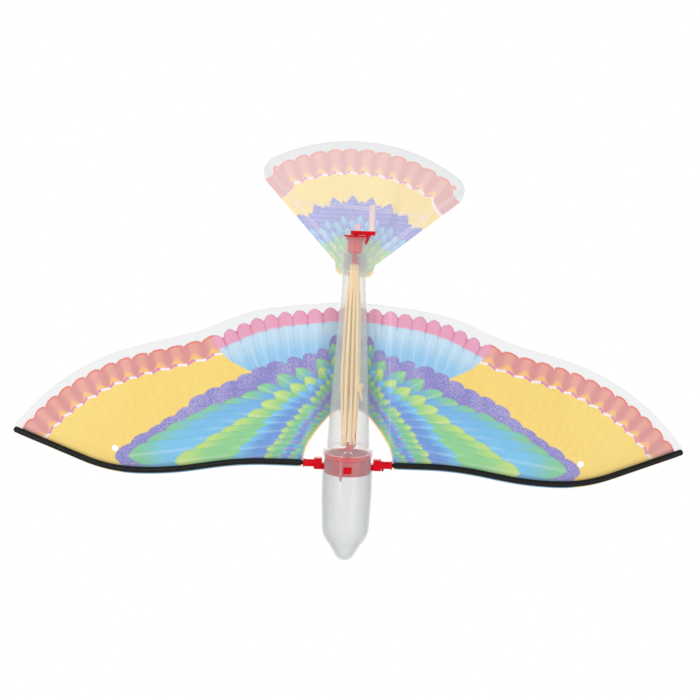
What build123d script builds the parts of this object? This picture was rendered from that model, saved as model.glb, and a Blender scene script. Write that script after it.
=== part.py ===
"""Rubber-powered flapping bird: a clear tapered tube, film wings on two black spars, a film tail fan.

Millimetres. The origin is the centre of the red ring that carries the wings, on the axis of the tube.
The nose points to -Y, the tail to +Y, the back of the bird to +Z, and its left wing to +X.
"""
import os
from math import cos, radians, sin, sqrt, tan

from build123d import *

os.makedirs("parts", exist_ok=True)

# Overall sizes
WING_REACH = 203.0        # centreline to the end of a spar
WING_CHORD = 98.2         # from the origin back to the film's trailing edge, at the tube
TUBE_REAR = 138.0         # rear rim of the tube
NOSE_REACH = 59.6         # from the origin forward to the tip of the beak
FILM = 0.2                # every printed film

# Clear tube and nose
WALL = 0.6
TUBE_REAR_RADIUS = 6.1
CONE_FRONT_RADIUS = 12.9
CONE_FRONT = 11.4
BELL_FRONT = 5.0
BELL_WALL = 0.9
BELL_LENGTH = 5.6
REAR_LIP = 0.8            # how far the rear rim stands out
NOSE_RIM = 4.8
NOSE_BULGE = 0.2          # the nose is this much fatter than its rim
SHOULDER = 10.3           # from the beak's tip back to the kink between beak and head
SHOULDER_RADIUS = 9.6
BEAK_ROUND = 4.4          # from the beak's tip back to where its rounding starts
BEAK_RADIUS = 6.2

# Red ring
RING_RADIUS = 14.1
RING_BORE = 12.0
RING_FRONT = -4.3
RING_BAND_REAR = 2.6
RING_REAR = 7.5
BAR_WIDTH = 6.4
BAR_FRONT = 2.9
BAR_REAR = 5.4
BOSS_REAR = 6.6
BOSS_RADIUS = 2.8
LATCH_HALF = 2.1
LATCH_FRONT = -1.8
LATCH_REAR = 1.5
LATCH_GAP = 0.4
LATCH_ROOT = 0.3          # the latch block starts this deep in the ring
LATCH_SHY = 0.1           # and ends this far short of the bell's outside
LUG_WALL = 0.8            # around the hinge pins
LUG_ROOT = 0.5            # the lugs stop this far inside the ring's outside

# Flapping mechanism
RUN = 0.05                # radial clearance of everything that turns on a shaft
SIDE_PLAY = 0.2           # end play of a lever between its lugs
OVERLAP = 0.4             # pieces of one solid run this far into each other
OVERSHOOT = 1.0           # a cut runs this far past the surface
HINGE_X = 11.0
PIN_RADIUS = 0.8
FLAP = 20.0               # degrees, up and down
CRANK_THROW = HINGE_X * tan(radians(FLAP))
SHAFT_RADIUS = 1.0
DISC_RADIUS = 5.4
DISC_FRONT = 1.5
DISC_REAR = 2.5
CRANK_PIN_FRONT = -10.7
CRANK_PIN_TAPER = 1.9
CRANK_PIN_TAPER_ANGLE = 15.0
EYE_RADIUS = 2.3
LEVER_FRONT = -2.6
LEVER_REAR = 1.1
ARM_THICKNESS = 1.6
ARM_WALL = 1.2
ARM_TIP_GAP = 1.1         # from the end of a lever's arm to the other lever's eye
SLOT_CLEARANCE = 1.6      # above and below the crank pin
NECK_HALF = 2.2
WINDOW_HALF = 3.6         # the lever's opening in the ring
SHELL_SLOT_HALF = 5.2     # the lever's opening in the nose
WASHER_RADIUS = 2.3
WASHER_THICKNESS = 0.7
HOOK_HALF = 1.0           # half the thickness of both rubber hooks
HOOK_CHAMFER = 0.3
HOOK_LENGTH = 12.0        # front hook, from the washer back to where the rubber starts
PRONG_LENGTH = 8.2        # winder hook, from its root forward to the prong's end

# Spars and wing film
SPAR_Y = 0.6
ROD_RADIUS = 1.35
SLEEVE_RADIUS = 1.85
KNUCKLE_GAP = 0.6         # from the bell out to the knuckle
KNUCKLE_LENGTH = 4.8
KNUCKLE_CHORD = 6.7
KNUCKLE_HALF = 2.8
KNUCKLE_ROUND = 0.8
SOCKET_RADIUS = 2.25
SOCKET_LENGTH = 6.6
SOCKET_RIM = 0.35
SOCKET_RIM_LENGTH = 0.8
LOCK_PEG_RADIUS = 0.7
LOCK_PEG_LENGTH = 1.4
SLEEVE_GAP = 1.6          # bare rod between the socket and the sleeve
TIP_CAP = 3.0
FILM_LEAD = 2.9           # the film's leading edge lies this far ahead of the spar's middle
SEAM = 20.0               # the film hinges on itself here, between the tube and the wing
SEAM_GAP = 0.15
SHOULDER_GAP = 1.0        # the film lies flat on the spar from this far past the socket
RIDGE_HALF = 5.0
RIDGE_GAP = 0.25
ARCH_REAR = 32.5          # the film's front edge where it crosses the tube
HANG_HOLE_X = 141.8
HANG_HOLE_Y = 5.0
HANG_HOLE_RADIUS = 2.0
RIVET_RADIUS = 0.9
RIVET_HEAD_RADIUS = 2.2
RIVET_HEAD = 0.8
RIVET_ROUND = 0.48
HEAD_GAP = 0.2            # the film lies loose under a rivet's head
RIVET_Y = (41.0, 90.0)

# Rear plug and winder
PLUG_FLANGE = 1.0
PLUG_SPIGOT = 1.8
PLUG_RADIUS = 4.45
PLUG_LENGTH = 9.9
PLUG_NOSE = 1.6           # length of the lead-in
PLUG_NOSE_STEP = 1.2      # and its depth
WINDER_SHAFT_RADIUS = 1.25
WINDER_HOOK_BACK = 15.4   # from the tube's rear rim forward to the hook
ARM_GAP = 0.2
ARM_DEPTH = 2.4
ARM_HALF = 1.7
HUB_RADIUS = 3.0
HANDLE_THROW = 10.5
HANDLE_DROP = 25.0        # degrees that the arm hangs below level, on the bird's right
PEG_RADIUS = 1.2
PEG_LENGTH = 9.6
PEG_BEAD = 0.25
PEG_BEAD_LENGTH = 1.0
SLEEVE_GRIP_RADIUS = 2.1
SLEEVE_GRIP_LENGTH = 15.4
PAWL_REACH = 5.2
PAWL_ROOT = 2.2
PAWL_HALF = 1.2

# Tail
FAN_LENGTH = 87.0         # from the point where its sides would meet to the middle of its rear edge
FAN_APEX = 8.1            # that point lies this far ahead of the collar's front
FAN_HALF_ANGLE = 46.6
FAN_ARC_RADIUS = 107.0
FAN_CORNER = 10.0
FAN_YAW = 4.4             # the fan sits this many degrees towards the bird's right
FAN_RISE = 13.0           # degrees that the fan slopes up towards its rear
COLLAR_BACK = 19.4        # from the tube's rear rim forward to the collar's front
COLLAR_LENGTH = 9.6
COLLAR_WALL = 0.9
SADDLE_HALF = 5.0
SADDLE_GAP = 0.8
LOBE_REACH = 4.5          # the fan's lobes reach this far ahead of the collar
LOBE_HALF = 11.8
LOBE_CORNER = 5.0
TAIL_RIVET_INSET = 2.4

# Rubber motor
STRAND_RADIUS = 1.0
STRAND_PITCH = 2.2
STRANDS = 4
KNOT_RADIUS = 2.2
KNOT_SEAT = 1.6           # from its centre to its flat side against the strands
KNOT_Y = 48.6
HALVES_GAP = 0.3


def cone(y):
    """Outer radius of the tapered tube at y."""
    slope = (CONE_FRONT_RADIUS - TUBE_REAR_RADIUS) / (TUBE_REAR - CONE_FRONT)
    return TUBE_REAR_RADIUS + slope * (TUBE_REAR - y)


def section(y):
    """Plane across the bird at y, with x to its left and z up; extruding goes towards the nose."""
    return Plane.XZ.offset(-y)


def save(part, name):
    """Label a finished piece and write it."""
    part.label = name
    export_step(part, f"parts/{name}.step")


# ---------------------------------------------------------------- clear tube
bell_radius = RING_RADIUS + BELL_WALL
bell_rear = BELL_FRONT + BELL_LENGTH
knuckle_start = bell_radius + KNUCKLE_GAP
knuckle_end = knuckle_start + KNUCKLE_LENGTH
socket_end = knuckle_end + SOCKET_LENGTH
sleeve_start = socket_end + SLEEVE_GAP
shoulder_x = socket_end + SHOULDER_GAP

with BuildPart() as tube:
    with BuildSketch(Plane.XY):
        with BuildLine():
            Polyline(
                (RING_RADIUS, BELL_FRONT),
                (RING_RADIUS, bell_rear - BELL_WALL),
                (cone(CONE_FRONT) - WALL, CONE_FRONT),
                (cone(TUBE_REAR) - WALL, TUBE_REAR),
                (TUBE_REAR_RADIUS + REAR_LIP, TUBE_REAR),
                (TUBE_REAR_RADIUS + REAR_LIP, TUBE_REAR - 2 * WALL),
                (cone(TUBE_REAR - 3 * WALL), TUBE_REAR - 3 * WALL),
                (cone(CONE_FRONT), CONE_FRONT),
                (bell_radius - WALL / 2, bell_rear),
                (bell_radius, bell_rear - WALL / 2),
                (bell_radius, BELL_FRONT),
                close=True,
            )
        make_face()
    revolve(axis=Axis.Y)
    for y in RIVET_Y:
        with Locations((0, y, cone(y))):
            Cylinder(RIVET_RADIUS, 3 * WALL, mode=Mode.SUBTRACT)
save(tube.part, "fuselage_tube")


# ---------------------------------------------------------------- clear nose
def nose_outline(inset):
    """Half section of the nose, smaller all round by inset."""
    rim = RING_RADIUS + BELL_WALL - inset
    kink = (SHOULDER_RADIUS - inset, SHOULDER - NOSE_REACH + inset / 2)
    round_start = (BEAK_RADIUS - inset, BEAK_ROUND - NOSE_REACH + inset / 2)
    tip = (0, inset - NOSE_REACH)
    with BuildSketch() as outline:
        with BuildLine():
            Polyline(tip, (0, NOSE_RIM), (rim, NOSE_RIM), (rim + NOSE_BULGE, -14))
            Spline(
                (rim + NOSE_BULGE, -14),
                (rim - 0.5, kink[1] + 15),
                (rim - 2.4, kink[1] + 4.2),
                kink,
                tangents=((0, -1), (-0.8, -1)),
            )
            Line(kink, round_start)
            TangentArc(tip, round_start, tangent=(1, 0))
        make_face()
    return outline.sketch


slot_front = SPAR_Y - KNUCKLE_CHORD / 2 - LATCH_GAP
slot_depth = NOSE_RIM - slot_front + OVERSHOOT

with BuildPart() as nose:
    with BuildSketch(Plane.XY):
        add(nose_outline(0))
        add(nose_outline(BELL_WALL), mode=Mode.SUBTRACT)
    revolve(axis=Axis.Y)
    for side in (1, -1):
        with Locations((side * bell_radius, slot_front + slot_depth / 2, 0)):
            Box(bell_radius, slot_depth, 2 * SHELL_SLOT_HALF, mode=Mode.SUBTRACT)
        with Locations((0, (LATCH_FRONT + LATCH_REAR) / 2, side * bell_radius)):
            Box(
                2 * (LATCH_HALF + LATCH_GAP),
                LATCH_REAR - LATCH_FRONT + 2 * LATCH_GAP,
                bell_radius,
                mode=Mode.SUBTRACT,
            )
save(nose.part, "nose_shell")

# ---------------------------------------------------------------- red ring
lug_inner = HINGE_X - PIN_RADIUS - LUG_WALL
lug_outer = RING_RADIUS - LUG_ROOT
latch_inner = RING_RADIUS - LATCH_ROOT
latch_outer = bell_radius - LATCH_SHY

with BuildPart() as ring:
    with BuildSketch(section(RING_REAR)):
        Circle(RING_RADIUS)
        Circle(RING_BORE, mode=Mode.SUBTRACT)
    extrude(amount=RING_REAR - RING_FRONT)
    with BuildSketch(section(BAR_REAR)):
        Rectangle(BAR_WIDTH, 2 * RING_BORE + OVERSHOOT)
    extrude(amount=BAR_REAR - BAR_FRONT)
    with BuildSketch(section(BOSS_REAR)):
        Circle(BOSS_RADIUS)
    extrude(amount=BOSS_REAR - BAR_FRONT)
    for front, rear in (
        (RING_FRONT, LEVER_FRONT - SIDE_PLAY),
        (LEVER_REAR + SIDE_PLAY, RING_BAND_REAR),
    ):
        with BuildSketch(section(rear)):
            for side in (1, -1):
                with Locations((side * (lug_inner + lug_outer) / 2, 0)):
                    Rectangle(lug_outer - lug_inner, 2 * (PIN_RADIUS + 2 * LUG_WALL))
        extrude(amount=rear - front)
    for side in (1, -1):
        with Locations((side * RING_RADIUS, (LEVER_FRONT + LEVER_REAR) / 2, 0)):
            Box(
                2 * (RING_RADIUS - RING_BORE) + OVERSHOOT,
                LEVER_REAR - LEVER_FRONT + 2 * SIDE_PLAY,
                2 * WINDOW_HALF,
                mode=Mode.SUBTRACT,
            )
        with Locations((0, (LATCH_FRONT + LATCH_REAR) / 2, side * (latch_inner + latch_outer) / 2)):
            Box(2 * LATCH_HALF, LATCH_REAR - LATCH_FRONT, latch_outer - latch_inner)
    with BuildSketch(section(RING_REAR)):
        with Locations((HINGE_X, 0), (-HINGE_X, 0)):
            Circle(PIN_RADIUS)
        Circle(SHAFT_RADIUS + RUN)
    extrude(amount=RING_REAR - RING_FRONT, mode=Mode.SUBTRACT)
save(ring.part, "frame_ring")

# ---------------------------------------------------------------- crank, its hook and its washer
with BuildPart() as crank:
    with BuildSketch(section(DISC_REAR)):
        Circle(DISC_RADIUS)
        Circle(SHAFT_RADIUS, mode=Mode.SUBTRACT)
    extrude(amount=DISC_REAR - DISC_FRONT)
    with BuildSketch(section(DISC_FRONT)):
        with Locations((CRANK_THROW, 0)):
            Circle(PIN_RADIUS)
    extrude(amount=DISC_FRONT - CRANK_PIN_FRONT - CRANK_PIN_TAPER)
    tapered = crank.faces().sort_by(Axis.Y)[0]
    extrude(tapered, amount=CRANK_PIN_TAPER, taper=CRANK_PIN_TAPER_ANGLE)
save(crank.part, "crank_disc")

washer_front = BOSS_REAR + 2 * RUN
hook_front = washer_front + WASHER_THICKNESS
hook_tip = hook_front + HOOK_LENGTH

with BuildPart() as washer:
    with BuildSketch(section(hook_front)):
        Circle(WASHER_RADIUS)
        Circle(SHAFT_RADIUS, mode=Mode.SUBTRACT)
    extrude(amount=WASHER_THICKNESS)
save(washer.part, "thrust_washer")

with BuildPart() as front_hook:
    with BuildSketch(Plane.XY):
        with BuildLine():
            Polyline(
                (1.2, hook_front),
                (2.0, hook_front + 3.0),
                (0.9, hook_front + 4.0),
                (1.6, hook_front + 4.9),
                (4.1, hook_front + 4.0),
                (2.8, hook_front + 7.6),
                (0.2, hook_front + 6.8),
                (-0.4, hook_front + 7.6),
                (-0.4, hook_tip),
                (-4.5, hook_tip),
                (-4.6, hook_front + 4.6),
                (-3.2, hook_front + 3.2),
                (-1.2, hook_front),
                close=True,
            )
        make_face()
    extrude(amount=HOOK_HALF, both=True)
    chamfer(front_hook.faces().filter_by(Axis.Z).edges(), HOOK_CHAMFER)
    with BuildSketch(section(hook_front)):
        Circle(SHAFT_RADIUS)
    extrude(amount=hook_front - DISC_FRONT)
save(front_hook.part, "front_hook")


# ---------------------------------------------------------------- wing levers, pins, spars
slot_height = 2 * (PIN_RADIUS + SLOT_CLEARANCE)
arm_height = slot_height + 2 * ARM_WALL
slot_length = 2 * (HINGE_X - EYE_RADIUS - ARM_TIP_GAP - ARM_WALL)


def spar_path(side, start, shift=0.0):
    """Centre line of a spar from x = start to the tip: a gentle S, drawn in plan."""
    dip = WING_CHORD * 0.075
    ends = ((start, SPAR_Y), (WING_REACH * 0.32, SPAR_Y), (WING_REACH * 0.542, -dip))
    outer = ((WING_REACH * 0.712, -dip - 0.2), (WING_REACH - TIP_CAP, SPAR_Y + 0.140 * WING_CHORD))
    points = [(side * x, y + shift) for x, y in ends + outer]
    return FilletPolyline(*points, radius=[WING_REACH * 0.95, WING_REACH * 0.95, WING_REACH * 0.44])


for side, hand in ((1, "left"), (-1, "right")):
    plate_front = LEVER_FRONT if side > 0 else LEVER_REAR - ARM_THICKNESS
    with BuildPart() as lever:
        with BuildSketch(section(LEVER_REAR)):
            with Locations((side * HINGE_X, 0)):
                Circle(EYE_RADIUS)
            with Locations((side * (HINGE_X + knuckle_start + OVERLAP) / 2, 0)):
                Rectangle(knuckle_start + OVERLAP - HINGE_X, 2 * NECK_HALF)
        extrude(amount=LEVER_REAR - LEVER_FRONT)
        with BuildSketch(section(plate_front + ARM_THICKNESS)):
            SlotOverall(slot_length + 2 * ARM_WALL, arm_height)
            with Locations((side * (HINGE_X + CRANK_THROW) / 2, 0)):
                Rectangle(HINGE_X - CRANK_THROW, 2 * NECK_HALF)
            SlotOverall(slot_length, slot_height, mode=Mode.SUBTRACT)
        extrude(amount=ARM_THICKNESS)
        with Locations((side * (knuckle_start + knuckle_end) / 2, SPAR_Y, 0)):
            Box(KNUCKLE_LENGTH, KNUCKLE_CHORD, 2 * KNUCKLE_HALF)
        knuckle_span = sorted((side * (knuckle_start + OVERLAP), side * (knuckle_end - OVERLAP)))
        fillet(lever.edges().filter_by(Axis.X).filter_by_position(Axis.X, *knuckle_span), KNUCKLE_ROUND)
        with BuildSketch(Plane.YZ.offset(side * socket_end)):
            with Locations((SPAR_Y, 0)):
                Circle(SOCKET_RADIUS)
        extrude(amount=-side * (socket_end - knuckle_end + OVERLAP))
        with BuildSketch(Plane.YZ.offset(side * socket_end)):
            with Locations((SPAR_Y, 0)):
                Circle(SOCKET_RADIUS + SOCKET_RIM)
        extrude(amount=-side * SOCKET_RIM_LENGTH)
        if side < 0:
            with BuildSketch(section(SPAR_Y - ROD_RADIUS)):
                with Locations((side * (knuckle_end + 1), 0)):
                    Circle(LOCK_PEG_RADIUS)
            extrude(amount=SOCKET_RADIUS - ROD_RADIUS + LOCK_PEG_LENGTH)
        with BuildSketch(Plane.YZ.offset(side * socket_end)):
            with Locations((SPAR_Y, 0)):
                Circle(ROD_RADIUS)
        extrude(amount=-side * (socket_end - knuckle_end), mode=Mode.SUBTRACT)
        with BuildSketch(section(LEVER_REAR)):
            with Locations((side * HINGE_X, 0)):
                Circle(PIN_RADIUS + RUN)
        extrude(amount=LEVER_REAR - LEVER_FRONT, mode=Mode.SUBTRACT)
    save(lever.part, f"wing_lever_{hand}")

    with BuildPart() as pin:
        with BuildSketch(section(RING_BAND_REAR)):
            with Locations((side * HINGE_X, 0)):
                Circle(PIN_RADIUS)
        extrude(amount=RING_BAND_REAR - RING_FRONT)
    save(pin.part, f"hinge_pin_{hand}")

    with BuildPart() as rod:
        with BuildLine() as rod_line:
            spar_path(side, knuckle_end)
        with BuildSketch(Plane(rod_line.line @ 0, z_dir=rod_line.line % 0)):
            Circle(ROD_RADIUS)
        sweep(path=rod_line.line)
    save(rod.part, f"spar_rod_{hand}")

    with BuildPart() as sleeve:
        with BuildLine() as sleeve_line:
            spar_path(side, sleeve_start)
        with BuildSketch(Plane(sleeve_line.line @ 0, z_dir=sleeve_line.line % 0)):
            Circle(SLEEVE_RADIUS)
            Circle(ROD_RADIUS, mode=Mode.SUBTRACT)
        sweep(path=sleeve_line.line)
    save(sleeve.part, f"spar_sleeve_{hand}")

    with BuildPart() as cap:
        with BuildSketch(Plane(sleeve_line.line @ 1, z_dir=sleeve_line.line % 1)):
            Circle(SLEEVE_RADIUS)
        extrude(amount=TIP_CAP)
        outer_end = cap.faces().sort_by(Axis.X, reverse=side > 0)[0]
        fillet(outer_end.edges(), SLEEVE_RADIUS * 0.9)
    save(cap.part, f"spar_tip_cap_{hand}")


# ---------------------------------------------------------------- wing film
film_bottom = SLEEVE_RADIUS
film_front = -WING_CHORD * 0.2
film_rear = WING_CHORD + 4


def film_section(y, inner, outer):
    """Thin cross section of the film at y, from x = inner to x = outer, following the back of the tube."""
    ridge = cone(y) + RIDGE_GAP
    fall = (ridge - film_bottom) / (shoulder_x - RIDGE_HALF)
    corners = [x for x in (-shoulder_x, -RIDGE_HALF, RIDGE_HALF, shoulder_x) if inner < x < outer]
    stations = [inner, *corners, outer]
    below = [(x, ridge - fall * min(max(abs(x) - RIDGE_HALF, 0), shoulder_x - RIDGE_HALF)) for x in stations]
    above = [(x, z + FILM) for x, z in below]
    with BuildSketch() as strip:
        with BuildLine():
            Polyline(*below, *reversed(above), close=True)
        make_face()
    return strip.sketch


def wing_outline(side):
    """Plan of half the film, from the centreline to the tip."""
    arch = ((0, ARCH_REAR), (side * 15.6, 24.5), (side * 22.5, 15.5), (side * shoulder_x, -FILM_LEAD + SPAR_Y))
    trailing = ((0, 1), (0.17, 0.977), (0.31, 0.92), (0.45, 0.803), (0.59, 0.722), (0.74, 0.614), (0.88, 0.43))
    tip_rear = (side * WING_REACH * 0.992, SPAR_Y + 0.19 * WING_CHORD)
    rear_points = [(side * u * WING_REACH, v * WING_CHORD) for u, v in trailing]
    with BuildSketch() as outline:
        with BuildLine():
            Spline(*arch, tangents=((side, 0), (side * 0.1, -1)))
            lead = spar_path(side, shoulder_x, -FILM_LEAD)
            Spline(*rear_points, tip_rear, tangents=((side, 0), (side * 0.65, -0.76)))
            ThreePointArc(tip_rear, (side * (WING_REACH - 0.2), SPAR_Y + 0.148 * WING_CHORD), lead @ 1)
            Line((0, ARCH_REAR), (0, WING_CHORD))
        make_face()
    return outline.sketch


for side, hand in ((1, "left"), (-1, "right")):
    inner, outer = sorted((side * (SEAM + SEAM_GAP), side * (WING_REACH + 5)))
    with BuildPart() as wing_film:
        for y in (film_front, film_rear):
            with BuildSketch(section(y)):
                add(film_section(y, inner, outer))
        loft(ruled=True)
        with BuildSketch(Plane.XY.offset(-1)):
            add(wing_outline(side))
            with Locations((side * HANG_HOLE_X, HANG_HOLE_Y)):
                Circle(HANG_HOLE_RADIUS, mode=Mode.SUBTRACT)
        extrude(amount=2 * RING_RADIUS, mode=Mode.INTERSECT)
    save(wing_film.part, f"wing_film_{hand}")

with BuildPart() as back_film:
    for y in (film_front, film_rear):
        with BuildSketch(section(y)):
            add(film_section(y, SEAM_GAP - SEAM, SEAM - SEAM_GAP))
    loft(ruled=True)
    with BuildSketch(Plane.XY.offset(-1)):
        add(wing_outline(1))
        add(wing_outline(-1))
        with Locations(*((0, y) for y in RIVET_Y)):
            Circle(RIVET_RADIUS, mode=Mode.SUBTRACT)
    extrude(amount=2 * RING_RADIUS, mode=Mode.INTERSECT)
save(back_film.part, "wing_film_centre")

for y, place in zip(RIVET_Y, ("front", "rear")):
    film_top = cone(y) + RIDGE_GAP + FILM
    with BuildPart() as rivet:
        with BuildSketch(Plane.XY.offset(cone(y) - WALL)):
            with Locations((0, y)):
                Circle(RIVET_RADIUS)
        extrude(amount=film_top - cone(y) + WALL + HEAD_GAP)
        with BuildSketch(Plane.XY.offset(film_top + HEAD_GAP)):
            with Locations((0, y)):
                Circle(RIVET_HEAD_RADIUS)
        extrude(amount=RIVET_HEAD)
        fillet(rivet.edges().group_by(Axis.Z)[-1], RIVET_ROUND)
    save(rivet.part, f"film_rivet_{place}")

# ---------------------------------------------------------------- rear plug and winder
plug_front = TUBE_REAR - PLUG_LENGTH
arm_front = TUBE_REAR + PLUG_FLANGE + ARM_GAP
arm_rear = arm_front + ARM_DEPTH

with BuildPart() as plug:
    with BuildSketch(Plane.XY):
        with BuildLine():
            Polyline(
                (WINDER_SHAFT_RADIUS + RUN, plug_front),
                (PLUG_RADIUS - PLUG_NOSE_STEP, plug_front),
                (PLUG_RADIUS, plug_front + PLUG_NOSE),
                (PLUG_RADIUS, TUBE_REAR - PLUG_SPIGOT),
                (cone(TUBE_REAR - PLUG_SPIGOT) - WALL, TUBE_REAR - PLUG_SPIGOT),
                (cone(TUBE_REAR) - WALL, TUBE_REAR),
                (TUBE_REAR_RADIUS + REAR_LIP, TUBE_REAR),
                (TUBE_REAR_RADIUS + REAR_LIP, TUBE_REAR + PLUG_FLANGE),
                (WINDER_SHAFT_RADIUS + RUN, TUBE_REAR + PLUG_FLANGE),
                close=True,
            )
        make_face()
    revolve(axis=Axis.Y)
save(plug.part, "rear_plug")

hook_y = TUBE_REAR - WINDER_HOOK_BACK
prong_tip = hook_y - PRONG_LENGTH

with BuildPart() as winder_shaft:
    with BuildSketch(Plane.XY):
        with BuildLine():
            Polyline(
                (-3.2, hook_y + 0.4),
                (-3.2, hook_y - 2.2),
                (0.5, hook_y - 2.2),
                (2.3, prong_tip),
                (3.7, prong_tip + 0.2),
                (2.4, hook_y - 2.6),
                (1.6, hook_y + 0.4),
                close=True,
            )
        make_face()
    extrude(amount=HOOK_HALF, both=True)
    chamfer(winder_shaft.faces().filter_by(Axis.Z).edges(), HOOK_CHAMFER)
    with BuildSketch(section(arm_rear)):
        Circle(WINDER_SHAFT_RADIUS)
    extrude(amount=arm_rear - hook_y)
save(winder_shaft.part, "winder_shaft")

# The arm is drawn level, on the bird's right, and turned down about the tube's axis.
drop = Rotation(0, -HANDLE_DROP, 0)

with BuildPart() as arm_level:
    with BuildSketch(section(arm_rear)):
        Circle(HUB_RADIUS)
        with Locations((-HANDLE_THROW / 2, 0)):
            Rectangle(HANDLE_THROW, 2 * ARM_HALF)
        with Locations((-HANDLE_THROW, 0)):
            Circle(SLEEVE_GRIP_RADIUS)
    extrude(amount=ARM_DEPTH)
    with BuildSketch(Plane.XY):
        with BuildLine():
            lip = TUBE_REAR_RADIUS + REAR_LIP + LATCH_GAP
            pawl_tip = arm_front - PAWL_REACH
            Polyline(
                (-lip, arm_front),
                (-lip, TUBE_REAR - 2 * WALL),
                (-cone(pawl_tip) - LATCH_GAP, pawl_tip),
                (-cone(pawl_tip) - 2 * LATCH_GAP, pawl_tip),
                (-lip - PAWL_ROOT, arm_front),
                close=True,
            )
        make_face()
    extrude(amount=PAWL_HALF, both=True)
    with BuildSketch(section(arm_rear + PEG_LENGTH)):
        with Locations((-HANDLE_THROW, 0)):
            Circle(PEG_RADIUS)
    extrude(amount=PEG_LENGTH)
    with BuildSketch(section(arm_rear + PEG_LENGTH)):
        with Locations((-HANDLE_THROW, 0)):
            Circle(PEG_RADIUS + PEG_BEAD)
    extrude(amount=PEG_BEAD_LENGTH)
    with BuildSketch(section(arm_rear)):
        Circle(WINDER_SHAFT_RADIUS)
    extrude(amount=ARM_DEPTH, mode=Mode.SUBTRACT)
save(drop * arm_level.part, "winder_arm")

with BuildPart() as grip_level:
    with BuildSketch(section(arm_rear + 2 * RUN + SLEEVE_GRIP_LENGTH)):
        with Locations((-HANDLE_THROW, 0)):
            Circle(SLEEVE_GRIP_RADIUS)
            Circle(PEG_RADIUS + RUN, mode=Mode.SUBTRACT)
    extrude(amount=SLEEVE_GRIP_LENGTH)
    with BuildSketch(section(arm_rear + PEG_LENGTH + RUN)):
        with Locations((-HANDLE_THROW, 0)):
            Circle(PEG_RADIUS + PEG_BEAD + RUN)
    extrude(amount=PEG_BEAD_LENGTH + 2 * RUN, mode=Mode.SUBTRACT)
save(drop * grip_level.part, "handle_sleeve")

# ---------------------------------------------------------------- tail
collar_front = TUBE_REAR - COLLAR_BACK
collar_rear = collar_front + COLLAR_LENGTH
saddle_height = cone(collar_front) + RUN + COLLAR_WALL + SADDLE_GAP
rise = tan(radians(FAN_RISE))
# The fan's plane starts above the collar's front edge and climbs towards the rear.
fan_plane = Plane(
    origin=(0, collar_front, saddle_height),
    x_dir=(1, 0, 0),
    z_dir=(0, -sin(radians(FAN_RISE)), cos(radians(FAN_RISE))),
)

tail_pins = [(0, y) for y in (TAIL_RIVET_INSET, COLLAR_LENGTH - TAIL_RIVET_INSET)]

with BuildPart() as collar:
    with BuildSketch(Plane.XY):
        with BuildLine():
            Polyline(
                (cone(collar_front) + RUN, collar_front),
                (cone(collar_front) + RUN + COLLAR_WALL, collar_front),
                (cone(collar_rear) + RUN + COLLAR_WALL, collar_rear),
                (cone(collar_rear) + RUN, collar_rear),
                close=True,
            )
        make_face()
    revolve(axis=Axis.Y)
    with BuildSketch(Plane.YZ):
        with BuildLine():
            Polyline(
                (collar_front, cone(collar_front) * 0.8),
                (collar_rear, cone(collar_front) * 0.8),
                (collar_rear, saddle_height + rise * COLLAR_LENGTH),
                (collar_front, saddle_height),
                close=True,
            )
        make_face()
    extrude(amount=SADDLE_HALF, both=True)
    with BuildSketch(Plane.XY):
        with BuildLine():
            Polyline(
                (0, collar_front),
                (cone(collar_front) + RUN, collar_front),
                (cone(collar_rear) + RUN, collar_rear),
                (0, collar_rear),
                close=True,
            )
        make_face()
    revolve(axis=Axis.Y, mode=Mode.SUBTRACT)
    with BuildSketch(fan_plane):
        with Locations(*tail_pins):
            Circle(RIVET_RADIUS)
    extrude(amount=-SADDLE_GAP - RIVET_HEAD, mode=Mode.SUBTRACT)
save(collar.part, "tail_collar")

wedge = radians(FAN_HALF_ANGLE)
# Distance from the apex to where a straight side meets the rear arc.
back = FAN_ARC_RADIUS - FAN_LENGTH
side_length = sqrt((back * cos(wedge)) ** 2 + FAN_ARC_RADIUS**2 - back**2) - back * cos(wedge)
corner = (side_length * sin(wedge), side_length * cos(wedge) - FAN_APEX)
lobe_join = LOBE_HALF / tan(wedge) - FAN_APEX

with BuildSketch() as fan_outline:
    with BuildLine():
        Polyline(
            corner,
            (LOBE_HALF, lobe_join),
            (LOBE_HALF, -LOBE_REACH),
            (-LOBE_HALF, -LOBE_REACH),
            (-LOBE_HALF, lobe_join),
            (-corner[0], corner[1]),
        )
        ThreePointArc((-corner[0], corner[1]), (0, FAN_LENGTH - FAN_APEX), corner)
    make_face()
    fillet(fan_outline.vertices().group_by(Axis.Y)[0], LOBE_CORNER)
    fillet(fan_outline.vertices().group_by(Axis.Y)[-1], FAN_CORNER)

with BuildPart() as fan:
    with BuildSketch(fan_plane):
        add(fan_outline.sketch, rotation=FAN_YAW)
        with Locations(*tail_pins):
            Circle(RIVET_RADIUS, mode=Mode.SUBTRACT)
    extrude(amount=FILM)
save(fan.part, "tail_film")

with BuildPart() as tail_rivets:
    with BuildSketch(fan_plane.offset(-SADDLE_GAP - RIVET_HEAD)):
        with Locations(*tail_pins):
            Circle(RIVET_RADIUS)
    extrude(amount=SADDLE_GAP + RIVET_HEAD + FILM)
    with BuildSketch(fan_plane.offset(FILM)):
        with Locations(*tail_pins):
            Circle(RIVET_HEAD_RADIUS)
    extrude(amount=RIVET_HEAD)
save(tail_rivets.part, "tail_rivets")

# ---------------------------------------------------------------- rubber motor
middle = (hook_tip + prong_tip) / 2

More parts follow.
